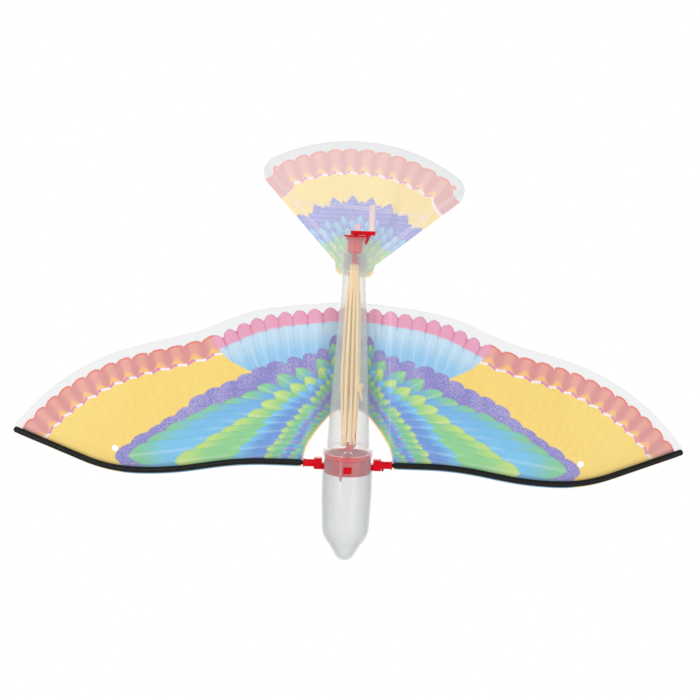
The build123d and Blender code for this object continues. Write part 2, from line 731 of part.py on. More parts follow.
for place, front, rear in (
    ("front", hook_tip, middle - HALVES_GAP / 2),
    ("rear", middle + HALVES_GAP / 2, prong_tip),
):
    with BuildPart() as strands:
        with BuildSketch(section(rear)):
            with GridLocations(STRAND_PITCH, 1, STRANDS, 1):
                Circle(STRAND_RADIUS)
        extrude(amount=rear - front)
    save(strands.part, f"rubber_loops_{place}")

strand_side = STRAND_PITCH * (STRANDS - 1) / 2 + STRAND_RADIUS

knot_x = -strand_side - KNOT_SEAT
knot_foot = sqrt(KNOT_RADIUS**2 - KNOT_SEAT**2)

with BuildPart() as knot:
    with BuildSketch(Plane.XY):
        with BuildLine():
            Polyline((knot_x - KNOT_RADIUS, KNOT_Y), (-strand_side, KNOT_Y), (-strand_side, KNOT_Y + knot_foot))
            ThreePointArc(
                (-strand_side, KNOT_Y + knot_foot),
                (knot_x, KNOT_Y + KNOT_RADIUS),
                (knot_x - KNOT_RADIUS, KNOT_Y),
            )
        make_face()
    revolve(axis=Axis((0, KNOT_Y, 0), (1, 0, 0)))
save(knot.part, "rubber_knot")
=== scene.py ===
"""Looks of the flapping bird: printed films, rubber motor, clear and red plastics, camera and lights.

The row frame's nose points to -Y, its back to +Z and its left wing to +X. The bird hangs in the air
and the camera looks up at its belly. Plan sizes are in millimetres, and MM turns them into metres.
"""
from math import cos, pi, radians, sin, tau

import bpy
import numpy as np
from mathutils import Matrix, Vector


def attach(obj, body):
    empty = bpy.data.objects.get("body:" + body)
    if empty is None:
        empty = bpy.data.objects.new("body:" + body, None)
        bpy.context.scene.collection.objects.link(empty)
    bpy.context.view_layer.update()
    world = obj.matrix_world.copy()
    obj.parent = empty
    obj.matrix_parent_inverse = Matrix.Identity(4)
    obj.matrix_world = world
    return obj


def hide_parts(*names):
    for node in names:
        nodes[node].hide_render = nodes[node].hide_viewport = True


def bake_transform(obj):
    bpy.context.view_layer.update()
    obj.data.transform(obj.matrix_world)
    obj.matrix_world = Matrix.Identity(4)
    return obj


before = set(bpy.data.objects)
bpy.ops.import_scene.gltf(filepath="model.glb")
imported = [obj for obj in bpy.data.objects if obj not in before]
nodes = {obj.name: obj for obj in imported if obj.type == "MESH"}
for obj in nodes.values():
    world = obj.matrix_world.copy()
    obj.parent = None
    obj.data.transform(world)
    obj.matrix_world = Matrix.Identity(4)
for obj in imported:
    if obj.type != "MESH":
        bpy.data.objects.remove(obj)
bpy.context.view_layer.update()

MM = 0.001
scene = bpy.context.scene
scene.view_settings.view_transform = "Standard"
rng = np.random.default_rng(7)


# ---------------------------------------------------------------- camera, world, lights, floor
CAMERA_TILT = radians(7)
CAMERA_ROLL = radians(2)
CAMERA_AT = Vector((0.00092, 0.1496, -0.6450))
LENS = 55.71
SENSOR = 36.0
WORLD_LIGHT = 0.62
FLOOR_Z = -1.15
FLOOR_HALF = 30.0
# Each light's name, place, aim, size and power.
LIGHTS = (
    ("key", (0.52, 0.06, -0.82), (0, 0.06, 0), (0.03, 0.8), 2.3),
    ("fill", (-0.6, -0.2, -0.8), (0, 0.05, 0), (0.7, 0.7), 2.2),
    ("tail_fill", (0.1, 0.42, -0.5), (0, 0.18, 0.02), (0.25, 0.25), 0.45),
    ("back", (0.1, 0.3, 0.8), (0, 0.05, 0), (0.9, 0.9), 5.0),
)


def add_camera():
    """A camera below the belly, looking up and a little towards the nose."""
    level_up = Vector((0, cos(CAMERA_TILT), sin(CAMERA_TILT)))
    right = Vector((-cos(CAMERA_ROLL), 0, 0)) + level_up * sin(CAMERA_ROLL)
    up = Vector((sin(CAMERA_ROLL), 0, 0)) + level_up * cos(CAMERA_ROLL)
    forward = Vector((0, -sin(CAMERA_TILT), cos(CAMERA_TILT)))
    data = bpy.data.cameras.new("camera")
    data.lens = LENS
    data.sensor_width = SENSOR
    data.clip_start = 0.01
    camera = bpy.data.objects.new("camera", data)
    scene.collection.objects.link(camera)
    turn = Matrix((right, up, -forward)).transposed().to_4x4()
    camera.matrix_world = Matrix.Translation(CAMERA_AT) @ turn
    scene.camera = camera


def add_light(name, place, aim, size, power):
    """A soft rectangular light that the camera doesn't see."""
    data = bpy.data.lights.new(name, "AREA")
    data.shape = "RECTANGLE"
    data.size, data.size_y = size
    data.energy = power
    lamp = bpy.data.objects.new(name, data)
    scene.collection.objects.link(lamp)
    direction = Vector(aim) - Vector(place)
    forward = direction.normalized()
    across = Vector((0, 1, 0)).cross(-forward).normalized()
    turn = Matrix((across, (-forward).cross(across), -forward)).transposed().to_4x4()
    lamp.matrix_world = Matrix.Translation(place) @ turn
    lamp.visible_camera = False


def add_world():
    """Near-white surroundings, a little dimmer as light than they look."""
    world = bpy.data.worlds.new("studio")
    scene.world = world
    world.use_nodes = True
    tree = world.node_tree
    tree.nodes.clear()
    output = tree.nodes.new("ShaderNodeOutputWorld")
    mix = tree.nodes.new("ShaderNodeMixShader")
    path = tree.nodes.new("ShaderNodeLightPath")
    shades = []
    for strength in (WORLD_LIGHT, 1.0):
        shade = tree.nodes.new("ShaderNodeBackground")
        shade.inputs["Color"].default_value = (1, 1, 1, 1)
        shade.inputs["Strength"].default_value = strength
        shades.append(shade)
    tree.links.new(path.outputs["Is Camera Ray"], mix.inputs[0])
    tree.links.new(shades[0].outputs[0], mix.inputs[1])
    tree.links.new(shades[1].outputs[0], mix.inputs[2])
    tree.links.new(mix.outputs[0], output.inputs["Surface"])


def add_floor():
    """A plain pale floor, well below the bird and behind the camera."""
    mesh = bpy.data.meshes.new("floor")
    corners = [(x * FLOOR_HALF, y * FLOOR_HALF, FLOOR_Z) for x, y in ((-1, -1), (1, -1), (1, 1), (-1, 1))]
    mesh.from_pydata(corners, [], [(0, 1, 2, 3)])
    floor = bpy.data.objects.new("floor", mesh)
    scene.collection.objects.link(floor)
    floor.data.materials.append(plain("floor_paper", (0.93, 0.93, 0.93), 0.8))


# ---------------------------------------------------------------- materials
DOTS_PER_METRE = 1500.0


def shader(name):
    """A new material, with its node tree and its Principled shader."""
    material = bpy.data.materials.new(name)
    material.use_nodes = True
    tree = material.node_tree
    return material, tree, tree.nodes["Principled BSDF"]


def node(tree, kind, **values):
    """A new node, with some of its inputs or settings."""
    made = tree.nodes.new(kind)
    for key, value in values.items():
        if key in made.inputs:
            made.inputs[key].default_value = value
        else:
            setattr(made, key, value)
    return made


def plain(name, colour, roughness):
    """A smooth one-colour surface, for what isn't part of the bird."""
    material, _, surface = shader(name)
    surface.inputs["Base Color"].default_value = (*colour, 1)
    surface.inputs["Roughness"].default_value = roughness
    return material


def add_bump(tree, surface, height, strength, distance):
    """Relief from a height output."""
    bump = node(tree, "ShaderNodeBump", Strength=strength, Distance=distance)
    tree.links.new(height, bump.inputs["Height"])
    tree.links.new(bump.outputs["Normal"], surface.inputs["Normal"])


def rescaled(tree, value, low, high, start=0.0, end=1.0):
    """A value moved from the range start to end to the range low to high."""
    made = node(tree, "ShaderNodeMapRange")
    for name, number in (("From Min", start), ("From Max", end), ("To Min", low), ("To Max", high)):
        made.inputs[name].default_value = number
    tree.links.new(value, made.inputs["Value"])
    return made.outputs["Result"]


def two_tones(tree, surface, noise, low, high, start):
    """Base colour that drifts between two close tones with a noise."""
    ramp = node(tree, "ShaderNodeValToRGB")
    ramp.color_ramp.elements[0].position = start
    ramp.color_ramp.elements[1].position = 1 - start
    ramp.color_ramp.elements[0].color = (*low, 1)
    ramp.color_ramp.elements[1].color = (*high, 1)
    tree.links.new(noise.outputs["Fac"], ramp.inputs["Fac"])
    tree.links.new(ramp.outputs["Color"], surface.inputs["Base Color"])


def mottled(tree, surface, low, high, scale, detail=3.0):
    """Base colour in two tones, by a noise that it returns."""
    place = node(tree, "ShaderNodeTexCoord")
    noise = node(tree, "ShaderNodeTexNoise", Scale=scale, Detail=detail)
    tree.links.new(place.outputs["Object"], noise.inputs["Vector"])
    two_tones(tree, surface, noise, low, high, 0.3)
    return noise


def moulded(name, low, high, roughness, coat=0.03):
    """Glossy injection-moulded plastic with faint flow marks."""
    material, tree, surface = shader(name)
    noise = mottled(tree, surface, low, high, 140.0)
    surface.inputs["Specular IOR Level"].default_value = 0.08
    surface.inputs["Roughness"].default_value = roughness
    surface.inputs["Coat Weight"].default_value = coat
    surface.inputs["Coat Roughness"].default_value = 0.12
    add_bump(tree, surface, noise.outputs["Fac"], 0.12, 0.0002)
    return material


def clear(name, tone, facing, edge, roughness):
    """Clear thin plastic: nearly see-through face on, milky at its edges, with a hard gloss."""
    material, tree, surface = shader(name)
    noise = mottled(tree, surface, tuple(0.93 * c for c in tone), tone, 60.0, 2.0)
    layer = node(tree, "ShaderNodeLayerWeight", Blend=0.32)
    tree.links.new(rescaled(tree, layer.outputs["Facing"], facing, edge), surface.inputs["Alpha"])
    surface.inputs["Roughness"].default_value = roughness
    surface.inputs["IOR"].default_value = 1.5
    surface.inputs["Coat Weight"].default_value = 0.6
    surface.inputs["Coat Roughness"].default_value = 0.04
    add_bump(tree, surface, noise.outputs["Fac"], 0.08, 0.0002)
    return material


def soft_black(name):
    """Satin black sleeve with fine lengthwise scuffs."""
    material, tree, surface = shader(name)
    noise = mottled(tree, surface, (0.0025, 0.0028, 0.003), (0.008, 0.0085, 0.009), 500.0)
    surface.inputs["Roughness"].default_value = 0.36
    surface.inputs["Specular IOR Level"].default_value = 0.22
    add_bump(tree, surface, noise.outputs["Fac"], 0.25, 0.0001)
    return material


def latex():
    """Tan rubber band: warm, a little translucent, with long streaks of talc."""
    material, tree, surface = shader("latex_band")
    place = node(tree, "ShaderNodeTexCoord")
    stretch = node(tree, "ShaderNodeMapping")
    stretch.inputs["Scale"].default_value = (900, 40, 900)
    noise = node(tree, "ShaderNodeTexNoise", Scale=1.0, Detail=4.0)
    tree.links.new(place.outputs["Object"], stretch.inputs["Vector"])
    tree.links.new(stretch.outputs["Vector"], noise.inputs["Vector"])
    two_tones(tree, surface, noise, (0.98, 0.61, 0.22), (1.0, 0.85, 0.46), 0.28)
    surface.inputs["Roughness"].default_value = 0.38
    surface.inputs["Subsurface Weight"].default_value = 0.15
    surface.inputs["Subsurface Radius"].default_value = (0.002, 0.001, 0.0005)
    add_bump(tree, surface, noise.outputs["Fac"], 0.2, 0.0001)
    return material


def steel():
    """Bright turned steel."""
    material, tree, surface = shader("turned_steel")
    noise = mottled(tree, surface, (0.45, 0.45, 0.46), (0.62, 0.62, 0.63), 900.0)
    surface.inputs["Metallic"].default_value = 1.0
    surface.inputs["Roughness"].default_value = 0.25
    add_bump(tree, surface, noise.outputs["Fac"], 0.1, 0.0001)
    return material


def printed_film(name):
    """Clear film printed with the colours in the mesh's print attribute, bare where print is missing."""
    material, tree, surface = shader(name)
    ink, cover, dots = (node(tree, "ShaderNodeAttribute", attribute_name=part) for part in ("print", "cover", "dots"))
    place = node(tree, "ShaderNodeTexCoord")
    # Halftone dots lighten the stippled feathers.
    cells = node(tree, "ShaderNodeTexVoronoi", Scale=DOTS_PER_METRE, Randomness=0.55)
    amount = node(tree, "ShaderNodeMath", operation="MULTIPLY")
    lighten = node(tree, "ShaderNodeMix", data_type="RGBA")
    lighten.inputs["B"].default_value = (0.62, 0.55, 0.80, 1)
    tree.links.new(place.outputs["Object"], cells.inputs["Vector"])
    tree.links.new(rescaled(tree, cells.outputs["Distance"], 1.0, 0.0, 0.22, 0.42), amount.inputs[0])
    tree.links.new(dots.outputs["Fac"], amount.inputs[1])
    tree.links.new(amount.outputs[0], lighten.inputs["Factor"])
    tree.links.new(ink.outputs["Color"], lighten.inputs["A"])
    # The ink is faintly uneven.
    noise = node(tree, "ShaderNodeTexNoise", Scale=420.0, Detail=4.0)
    uneven = node(tree, "ShaderNodeVectorMath", operation="SCALE")
    tree.links.new(place.outputs["Object"], noise.inputs["Vector"])
    tree.links.new(lighten.outputs["Result"], uneven.inputs[0])
    tree.links.new(rescaled(tree, noise.outputs["Fac"], 0.965, 1.02, 0.3, 0.7), uneven.inputs["Scale"])
    tree.links.new(uneven.outputs["Vector"], surface.inputs["Base Color"])
    tree.links.new(cover.outputs["Fac"], surface.inputs["Alpha"])
    surface.inputs["Roughness"].default_value = 0.34
    surface.inputs["IOR"].default_value = 1.45
    surface.inputs["Coat Weight"].default_value = 0.15
    surface.inputs["Coat Roughness"].default_value = 0.08
    add_bump(tree, surface, noise.outputs["Fac"], 0.05, 0.0002)
    return material


def dress(names, material):
    """Give CAD nodes a material."""
    for name in names:
        slots = nodes[name].data.materials
        slots.clear()
        slots.append(material)


# ---------------------------------------------------------------- ink on the films
def ink(red, green, blue):
    """A printed colour, from the 0 to 255 values that a printer would give, as linear light."""
    value = np.array((red, green, blue)) / 255
    return np.where(value <= 0.04045, value / 12.92, ((value + 0.055) / 1.055) ** 2.4)


CLEAR = ink(150, 156, 160)
CLEAR_COVER = 0.18
INK_COVER = 0.93
YELLOW = ink(243, 211, 96)
AMBER = ink(246, 190, 96)
SALMON = ink(226, 152, 138)
ROSE = ink(212, 132, 130)
PINK = ink(228, 146, 176)
MAGENTA = ink(214, 60, 144)
RED_LINE = ink(232, 84, 58)
WHITE = ink(246, 234, 244)
ORCHID = ink(214, 112, 186)
PURPLE = ink(122, 116, 192)
VIOLET = ink(84, 96, 204)
PALE_BLUE = ink(186, 216, 236)
LENS_BLUE = ink(132, 192, 232)
SKY = ink(104, 190, 232)
TEAL = ink(92, 190, 206)
BLUE = ink(88, 142, 214)
LEAF = ink(130, 204, 132)
LIME = ink(186, 218, 108)
GREEN = ink(112, 192, 140)
GOLD = ink(248, 204, 62)
FEATHER_EDGE = 0.35       # mm over which a feather's edge fades
RIM = 0.7                 # mm of darker ink along it
INKED_RIM = 1.7 * RIM     # mm of another ink along it
CELL = 10.7               # mm between the scallops of the salmon band
SCALLOP_DIP = 2.4         # mm from the scallops' tops to the corners between them
CHAIN_SWING = 1.6         # mm of zigzag in the chain of dashes


def soft(distance, width):
    """0 below zero, 1 above width, smooth between."""
    share = np.clip(distance / width, 0, 1)
    return share * share * (3 - 2 * share)


class Print:
    """What is printed at each point of a film: its colour, its cover and its stippling."""

    def __init__(self, x, y):
        self.x, self.y = x, y
        self.colour = np.tile(CLEAR, (len(x), 1))
        self.cover = np.full(len(x), CLEAR_COVER)
        self.dots = np.zeros(len(x))

    def lay(self, amount, colour, cover=INK_COVER, dots=0.0, at=slice(None)):
        """Lay a colour over what is there, by an amount from 0 to 1."""
        amount = np.clip(amount, 0, 1)
        self.colour[at] += (colour - self.colour[at]) * amount[:, None]
        self.cover[at] += (cover - self.cover[at]) * amount
        self.dots[at] += (dots - self.dots[at]) * amount

    def feather(self, tip, lean, length, width, body, end, dots=0.0, fade=0.25, within=None, rim_ink=None, point=0.5):
        """One feather, given its tip and the way it points, in a body colour that turns into an end colour.

        It fades over a share of its length, is round at a point of 0.5 and sharp at 1, and is laid only where
        within is 1. Its rim is darker, or in an ink of its own, and a bare one has a pale shaft.
        """
        dx, dy = self.x - tip[0], self.y - tip[1]
        near = np.flatnonzero(dx * dx + dy * dy < (length + width) ** 2)
        if not len(near):
            return
        back = -(dx[near] * cos(lean) + dy[near] * sin(lean))
        across = dx[near] * sin(lean) - dy[near] * cos(lean)
        bluntness = np.clip(back / ((0.1 + point) * width), 0, 1)
        half = width / 2 * (1 - (1 - bluntness) ** 2) ** point
        inward = half - np.abs(across)
        amount = soft(inward, FEATHER_EDGE) * (back > 0) * soft(length - back, fade * length)
        if within is not None:
            amount = amount * within[near]
        tone = soft(back - 0.08 * length, 0.5 * length)[:, None]
        colour = end + (body - end) * tone
        rim = np.clip(1 - inward / (RIM if rim_ink is None else INKED_RIM), 0, 1)[:, None]
        shaft = np.exp(-((across / (0.06 * width)) ** 2))[:, None]
        shine = 0.16 if rim_ink is None and not dots else 0
        colour = colour * (1 - 0.34 * rim) + (1 - colour) * shine * shaft
        if rim_ink is not None:
            colour = colour + (rim_ink - colour) * soft(rim - 0.25, 0.5)
        self.lay(amount, colour, dots=dots, at=near)

    def store(self, mesh, used):
        """Keep the print of some points on their mesh, as the attributes that the film's material reads."""
        rgba = np.ones((len(used), 4), np.float32)
        rgba[:, :3] = self.colour[used]
        mesh.attributes.new("print", "FLOAT_COLOR", "POINT").data.foreach_set("color", rgba.ravel())
        for name, values in (("cover", self.cover), ("dots", self.dots)):
            mesh.attributes.new(name, "FLOAT", "POINT").data.foreach_set("value", values[used].astype(np.float32))


def salmon_band(art, run, depth, margin, band, within):
    """Scalloped salmon edge with a red outline, over a chain of white and orchid dashes.

    run is each point's distance along the film's edge and depth its distance in from it.
    """
    share = (run / CELL) % 1
    bump = np.sin(pi * share**0.72) ** 0.55
    top = margin + SCALLOP_DIP * (1 - bump)
    fall = np.where(share < 0.65, share / 0.65, (1 - share) / 0.35)
    chain = margin + band + CHAIN_SWING * (0.5 - fall)
    inside = soft(depth - top, 0.4) * within
    stripe = soft(np.abs(share - 0.45) - 0.12, 0.25)[:, None]
    tone = SALMON + (ROSE - SALMON) * stripe
    art.lay(inside * soft(chain - depth, 0.4), tone)
    wedge = soft(depth - (chain - 6.0 + 9.0 * np.abs(share - 0.5)), 3.0) * soft(chain - depth, 0.4)
    art.lay(0.85 * wedge * inside, AMBER)
    dash = soft(0.85 - np.abs(depth - chain), 0.35) * within
    art.lay(dash, np.where(share[:, None] < 0.52, WHITE, ORCHID))
    line = soft(0.62 - np.abs(depth - top), 0.3) * within
    art.lay(line, RED_LINE)


# ---------------------------------------------------------------- film meshes
FILM_STEP = 0.6           # mm between the points of a film's mesh
BATCH = 4000              # points that are measured against a line at once


def outline_at(stations, points, edges):
    """Front and rear of a flat outline at each station, from the edges of its CAD mesh, in mm."""
    start, end = points[edges[:, 0]], points[edges[:, 1]]
    front, rear = [], []
    for station in stations:
        crossing = (start[:, 0] - station) * (end[:, 0] - station) < 0
        a, b = start[crossing], end[crossing]
        if len(a) < 2:
            front.append(np.nan)
            rear.append(np.nan)
            continue
        y = a[:, 1] + (b[:, 1] - a[:, 1]) * (station - a[:, 0]) / (b[:, 0] - a[:, 0])
        front.append(y.min())
        rear.append(y.max())
    front, rear = np.array(front), np.array(rear)
    known = ~np.isnan(front)
    return np.interp(stations, stations[known], front[known]), np.interp(stations, stations[known], rear[known])


def cad_mesh(names):
    """Points, in mm, and edges of some CAD nodes together."""
    points, edges, first = [], [], 0
    for name in names:
        mesh = nodes[name].data
        place = np.empty(3 * len(mesh.vertices))
        mesh.vertices.foreach_get("co", place)
        ends = np.empty(2 * len(mesh.edges), int)
        mesh.edges.foreach_get("vertices", ends)
        points.append(place.reshape(-1, 3) / MM)
        edges.append(ends.reshape(-1, 2) + first)
        first += len(mesh.vertices)
    return np.concatenate(points), np.concatenate(edges)


def film_grid(stations, front, rear, rows):
    """A grid of plan points between a front and a rear edge, and its faces."""
    share = np.linspace(0, 1, rows)
    y = front[:, None] + (rear - front)[:, None] * share
    x = np.repeat(stations[:, None], rows, axis=1)
    index = np.arange(len(stations) * rows).reshape(len(stations), rows)
    faces = np.stack((index[:-1, :-1], index[1:, :-1], index[1:, 1:], index[:-1, 1:]), axis=-1).reshape(-1, 4)
    return x.ravel(), y.ravel(), faces


def run_along(line):
    """How far along a line each of its points lies."""
    return np.concatenate(([0], np.cumsum(np.hypot(*np.diff(line, axis=0).T))))


def distance_to_line(x, y, line):
    """For each point, how far along a line its nearest point lies, and how far off that is."""
    length = run_along(line)
    run, off = np.empty(len(x)), np.empty(len(x))
    for first in range(0, len(x), BATCH):
        part = slice(first, first + BATCH)
        gap = (x[part, None] - line[:, 0]) ** 2 + (y[part, None] - line[:, 1]) ** 2
        best = gap.argmin(axis=1)
        run[part] = length[best]
        off[part] = np.sqrt(gap[np.arange(len(best)), best])
    return run, off


def punch(x, y, faces, centre, radius):
    """Open a round hole: drop the faces inside it and pull its rim onto the circle."""
    dx, dy = x - centre[0], y - centre[1]
    far = np.hypot(dx, dy)
    faces = faces[far[faces].mean(axis=1) > radius]
    rim = (far < radius + 0.6 * FILM_STEP) & np.isin(np.arange(len(x)), faces)
    scale = radius / np.maximum(far[rim], 1e-6)
    x[rim], y[rim] = centre[0] + dx[rim] * scale, centre[1] + dy[rim] * scale
    return faces


def make_film(name, points, faces, art):
    """A film object from points in metres, with its print."""
    used = np.unique(faces)
    order = np.full(len(points), -1)
    order[used] = np.arange(len(used))
    mesh = bpy.data.meshes.new(name)
    mesh.from_pydata(points[used].tolist(), [], order[faces].tolist())
    art.store(mesh, used)
    mesh.shade_smooth()
    film = bpy.data.objects.new(name, mesh)
    scene.collection.objects.link(film)
    mesh.materials.append(film_material)
    return film


# ---------------------------------------------------------------- wing print
# Feather rows from the outermost in: the line of their tips from the tube to the spar, their number, their
# length and width at the tube and at the spar, in mm, their body and tip colours at both, and their stippling.
ROWS = (
    (((6, 81), (22, 68), (56, 58), (97, 33), (146, -4)), 15, (16, 38), (10, 15),
     (PURPLE, PURPLE), (PURPLE, PURPLE), 1.0),
    (((7, 78), (24, 62), (45, 54), (69, 37), (97, 25), (140, -3)), 12, (15, 50), (9, 15),
     (BLUE, SKY), (LEAF, GREEN), 0.0),
    (((7, 70), (24, 54), (46, 43), (69, 23), (109, -6)), 12, (13, 42), (7.5, 13),
     (GREEN, LEAF), (LIME, LIME), 0.0),
    (((7, 64), (22, 51), (39, 38), (55, 21), (72, -2)), 13, (10, 26), (5.6, 9), (BLUE, BLUE), (SKY, SKY), 0.0),
    (((7, 60), (18, 47), (29, 35), (40, 21), (53, 1)), 15, (7, 13), (4.2, 5.6), (GREEN, GREEN), (LIME, LIME), 0.0),
    (((7, 53), (16, 41), (28, 26), (43, 1)), 17, (5, 7.5), (3.0, 3.8), (PURPLE, BLUE), (SKY, SKY), 0.0),
    (((6, 47), (14, 36), (24, 23), (37, 1)), 17, (5, 6), (2.6, 3.2), (GREEN, GREEN), (LEAF, LEAF), 0.0),
    (((5, 42), (12, 32), (20, 21), (32, 1)), 16, (5, 5), (2.6, 3.0), (PURPLE, BLUE), (BLUE, SKY), 0.0),
)
ROW_JITTER = 0.9          # mm that a feather's tip may stray from its line
DOT_ROWS = (((8, 50), (20, 34), (41, 2)), ((7, 44), (16, 32), (36, 2)))
DOT_SIZE = (1.7, 1.6)
DOTS_IN_ROW = 15
# Width of the film's bare edge, in mm, at distances along its trailing edge from the tube.
MARGIN_RUN = (0, 40, 85, 210)
MARGIN = (2.6, 3.2, 5.8, 4.6)
PINK_CELL = 9.2           # mm between the pink scallops behind the tube
LENS_END = 86.0           # mm along the trailing edge to the last of them
LENS_LOW = ((0, 60), (50, 50), (61, 55), (73, 61), (80, 68), (85, 75))


def feather_rows(art):
    """Rows of feathers that point rearwards at the tube and outwards at the spar."""
    for tips, count, lengths, widths, bodies, ends, dots in ROWS:
        point = 0.62 if dots else 0.8
        line = np.array(tips, float)
        marks = run_along(line)
        for share in (np.arange(count) + 0.5) / count:
            at = share * marks[-1]
            wobble = rng.uniform(-ROW_JITTER, ROW_JITTER, 2)
            tip = (np.interp(at, marks, line[:, 0]) + wobble[0], np.interp(at, marks, line[:, 1]) + wobble[1])
            lean = radians(-9 + 90 * (1 - share) ** 2.4)
            length = lengths[0] + (lengths[1] - lengths[0]) * share
            width = widths[0] + (widths[1] - widths[0]) * share
            body = bodies[0] + (bodies[1] - bodies[0]) * share
            end = ends[0] + (ends[1] - ends[0]) * share
            art.feather(tip, lean, length, width, body, end, dots=dots, point=point)


def bare_edge(run):
    """Width of the bare edge behind the pale-blue feathers, which keeps its last value beyond them."""
    return np.interp(run, MARGIN_RUN[:3], MARGIN[:3])


def print_wing(x, y, trailing, leading):
    """The print of half a wing, from its plan points and its two edges."""
    art = Print(x, y)
    run, depth = distance_to_line(x, y, trailing)
    margin = np.interp(run, MARGIN_RUN, MARGIN)
    low_x, low_y = np.array(LENS_LOW).T
    lens = (y > np.interp(x, low_x, low_y)) & (x < low_x[-1])
    outer = soft(run - LENS_END, 0.6)
    streak = 0.5 + 0.5 * np.sin(tau * run / 7.6 + 0.8 * np.sin(depth / 11))
    inset = bare_edge(run)
    sun = YELLOW + (AMBER - YELLOW) * (0.20 * streak + 0.10 * soft(depth - 20, 40))[:, None]
    art.lay(soft(depth - margin - 3, 0.5), sun)
    salmon_band(art, run, depth, margin, 11.4 + 0.02 * (run - LENS_END), outer)
    art.lay(soft(depth - inset - 7.5, 0.6) * lens, SKY + (PALE_BLUE - SKY) * 0.4)
    under_pink = soft(depth - inset - 2.6, 0.6) * soft(inset + 9.0 - depth, 0.6) * lens
    art.lay(under_pink, ROSE + (MAGENTA - ROSE) * 0.35, dots=0.5)
    # Long pale-blue feathers behind the tube, with the pink scallops over their ends.
    marks = run_along(trailing)
    for number in range(int(LENS_END / PINK_CELL), -1, -1):
        along = (number + 0.5) * PINK_CELL
        place = np.searchsorted(marks, along)
        base, ahead = trailing[place], trailing[place + 1]
        outwards = np.arctan2(ahead[0] - base[0], base[1] - ahead[1])
        bare = bare_edge(along)
        for back, length, width, body, end, dots, rim in (
            (bare + 7.2, 34.0, 9.9, LENS_BLUE, PALE_BLUE, 0.0, None),
            (bare, 9.2, PINK_CELL + 0.5, PINK, PINK, 0.4, MAGENTA),
        ):
            tip = base - back * np.array((cos(outwards), sin(outwards)))
            art.feather(tip, outwards, length, width, body, end, dots, 0.12, lens.astype(float), rim)
    reach_x, reach_y = np.array(ROWS[0][0][::-1]).T
    inner = np.interp(y, reach_y, reach_x) - 7 - x
    art.lay(soft(inner, 2.0) * (y < reach_y[-1] - 6), BLUE + (TEAL - BLUE) * 0.5)
    feather_rows(art)
    for tips in DOT_ROWS:
        line = np.array(tips, float)
        for share in np.linspace(0.03, 0.97, DOTS_IN_ROW):
            spot = [np.interp(share, np.linspace(0, 1, len(line)), line[:, axis]) for axis in (0, 1)]
            art.feather((spot[0] + 0.8, spot[1]), 0.0, *DOT_SIZE, ORCHID, ORCHID)
    arch = distance_to_line(x, y, leading)[1]
    art.lay(soft(1.3 - arch, 0.5) * (x < 30), GOLD)
    rim = np.minimum(depth, arch)
    art.lay(soft(0.5 - rim, 0.4) * (art.cover < 0.5), CLEAR, cover=0.32)
    return art


# ---------------------------------------------------------------- wing film
RIDGE_HALF = 5.0          # the film lies on the tube's back this far each side
SHOULDER_X = 28.0         # and on the spar from here outwards
REST_Z = 1.95             # the middle of the film's thickness there
HOLE = (141.8, 5.0)
HOLE_RADIUS = 2.0
TIP_ROUND = 2.0           # the stations close up over this much of the wing's tip
TIP_SHY = 0.02            # and end this far short of it


def ridge_line():
    """Height of the film over the tube's back as a straight line in y, read from the CAD film."""
    points, _ = cad_mesh(("wing_film_centre",))
    middle = points[np.abs(points[:, 0]) < RIDGE_HALF + 0.1]
    return np.polyfit(middle[:, 1], middle[:, 2], 1)


def wing_height(x, y):
    """Height of the film: over the tube, down its flanks, then flat on the spar with slight ripples."""
    ridge = np.polyval(ridge_line(), y)
    share = np.clip((x - RIDGE_HALF) / (SHOULDER_X - RIDGE_HALF), 0, 1)
    height = REST_Z + (ridge - REST_Z) * (0.5 + 0.5 * np.cos(pi * share))
    behind = np.clip((y - 14) / 60, 0, 1)
    outboard = soft(x - SHOULDER_X, 40)
    ripple = np.sin(x / 8.5 + 0.03 * y) + 0.5 * np.sin(x / 3.9 + y / 17)
    return height + outboard * behind * (0.45 * ripple + 1.2 * np.sin(x / 46 + 0.6))


def add_wings():
    """Two half films that meet over the tube, each bending from the body to its wing."""
    points, edges = cad_mesh(("wing_film_centre", "wing_film_left"))
    tip = points[:, 0].max()
    close = tip - TIP_ROUND * np.cos(np.linspace(0, pi / 2, 9))[:-1] ** 2
    stations = np.unique(np.concatenate((np.arange(0.0, tip - TIP_ROUND, FILM_STEP), close, [tip - TIP_SHY])))
    front, rear = outline_at(np.maximum(stations, 0.01), points[:, :2], edges)
    rows = int((rear - front).max() / FILM_STEP)
    x, y, faces = film_grid(stations, front, rear, rows)
    trailing = np.stack((stations, rear), axis=1)
    leading = np.stack((stations, front), axis=1)
    arch = leading[stations < SHOULDER_X + 1]
    art = print_wing(x, y, trailing, arch)
    faces = punch(x, y, faces, HOLE, HOLE_RADIUS)
    height = wing_height(x, y)
    for side, hand in ((1, "left"), (-1, "right")):
        place = np.stack((side * x, y, height), axis=1) * MM
        film = make_film(f"wing_sheet_{hand}", place, faces[:, ::side], art)
        covered = ("wing_film_left", "wing_film_centre") if side > 0 else ("wing_film_right",)
        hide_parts(*covered)
        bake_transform(film)


# ---------------------------------------------------------------- tail film
FAN_ORIGIN_Y = 118.6      # the fan's plane meets the collar's front edge here, on the middle
FAN_RISE = radians(13)
FAN_YAW = radians(4.4)
FAN_APEX = 8.1            # its straight sides would meet this far ahead of that
FAN_HALF_ANGLE = radians(46.6)
FAN_SHY = 0.03            # the film's stations end this far short of the fan's sides
TAIL_MARGIN = 5.2
TAIL_BAND = 14.6
SIDE_RIBS = (4.2, 5.6)    # inwards from each straight side
CROSS_RIBS = (45.0, 46.6) # back from where the sides would meet
CROSS_REACH = 60.0
